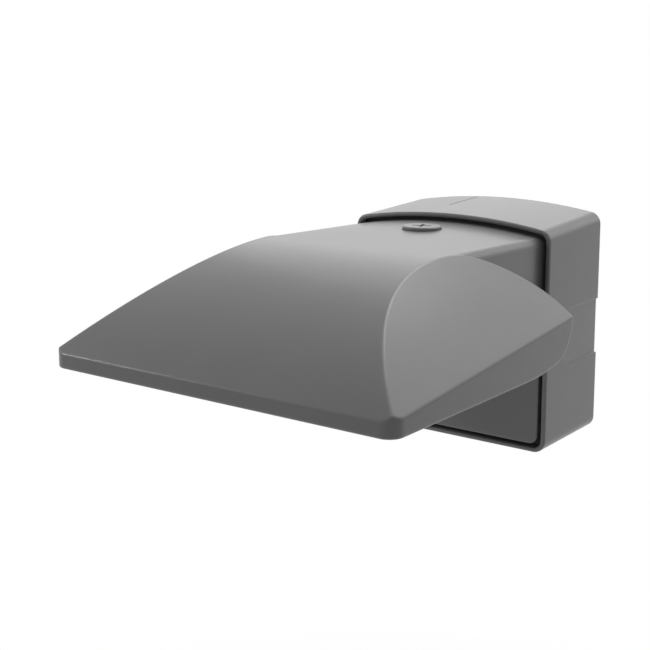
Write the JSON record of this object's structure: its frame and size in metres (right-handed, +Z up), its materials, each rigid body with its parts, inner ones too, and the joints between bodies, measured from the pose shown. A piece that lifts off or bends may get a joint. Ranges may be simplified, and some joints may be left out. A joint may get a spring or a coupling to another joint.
{
  "type": "wall pack light",
  "caption": "Wall pack light with a square wall box, a neck, a wedge-shaped visor and a hinged glass lens door underneath.",
  "frame": {"origin": "centre of the anchor screw pattern, on the wall plane behind the wall box", "axes": "+Y into the wall, +Z up, X across the wall"},
  "size_m": [0.2444, 0.328, 0.1625],
  "materials": {
    "casting_coat": "fine-textured satin grey powder coat on cast aluminium",
    "plug_coat": "satin grey powder coat on a closure plug",
    "foam_rubber": "closed-cell foam",
    "seal_rubber": "silicone rubber",
    "stainless_steel": "stainless steel",
    "spring_steel": "spring steel",
    "green_steel": "green passivated steel",
    "plain_aluminium": "plain rolled aluminium",
    "thermal_rubber": "thermal silicone",
    "board_white": "white solder mask on an aluminium board",
    "led_phosphor": "yellow phosphor",
    "clear_acrylic": "clear moulded acrylic",
    "white_nylon": "white nylon",
    "white_reflector": "gloss white paint on steel sheet",
    "zinc_steel": "zinc-plated steel sheet",
    "driver_case": "plain painted driver case",
    "surge_case": "black potted case",
    "wire_black": "black insulation",
    "wire_white": "white insulation",
    "wire_green": "green insulation",
    "wire_red": "red insulation",
    "tempered_glass": "clear tempered glass"
  },
  "bodies": {
    "fixture": {"wall_box": "casting_coat", "head_casting": "casting_coat", "entry_plug": "plug_coat", "wall_gasket": "foam_rubber", "reveal_gasket": "seal_rubber", "entry_plug_oring": "seal_rubber", "wire_grommet": "seal_rubber", "head_screws": "stainless_steel", "head_washers": "stainless_steel", "heat_plate_screws": "stainless_steel", "lens_screws": "stainless_steel", "trim_screws": "stainless_steel", "tray_screws": "stainless_steel", "driver_screws": "stainless_steel", "terminal_screws": "stainless_steel", "surge_screws": "stainless_steel", "hinge_pins": "stainless_steel", "ground_screw": "green_steel", "heat_plate": "plain_aluminium", "thermal_pad": "thermal_rubber", "led_board": "board_white", "led_packages": "led_phosphor", "lens_array": "clear_acrylic", "led_connector": "white_nylon", "reflector_trim": "white_reflector", "driver_tray": "zinc_steel", "led_driver": "driver_case", "terminal_block": "white_nylon", "surge_protector": "surge_case", "live_wire": "wire_black", "neutral_wire": "wire_white", "ground_wire": "wire_green", "led_plus_wire": "wire_red", "led_minus_wire": "wire_black"},
    "lens_door": {"door_frame": "casting_coat", "door_glass": "tempered_glass", "glass_gasket": "seal_rubber", "door_gasket": "seal_rubber", "glass_clips": "spring_steel", "clip_screws": "stainless_steel", "captive_screws": "stainless_steel", "retaining_washers": "stainless_steel"}
  },
  "joints": [
    {"name": "door_hinge", "type": "hinge", "parent": "fixture", "child": "lens_door", "pos_m": [0, -0.1875, 0.0035], "axis": [1, 0, 0], "range_deg": [0, 90]}
  ]
}
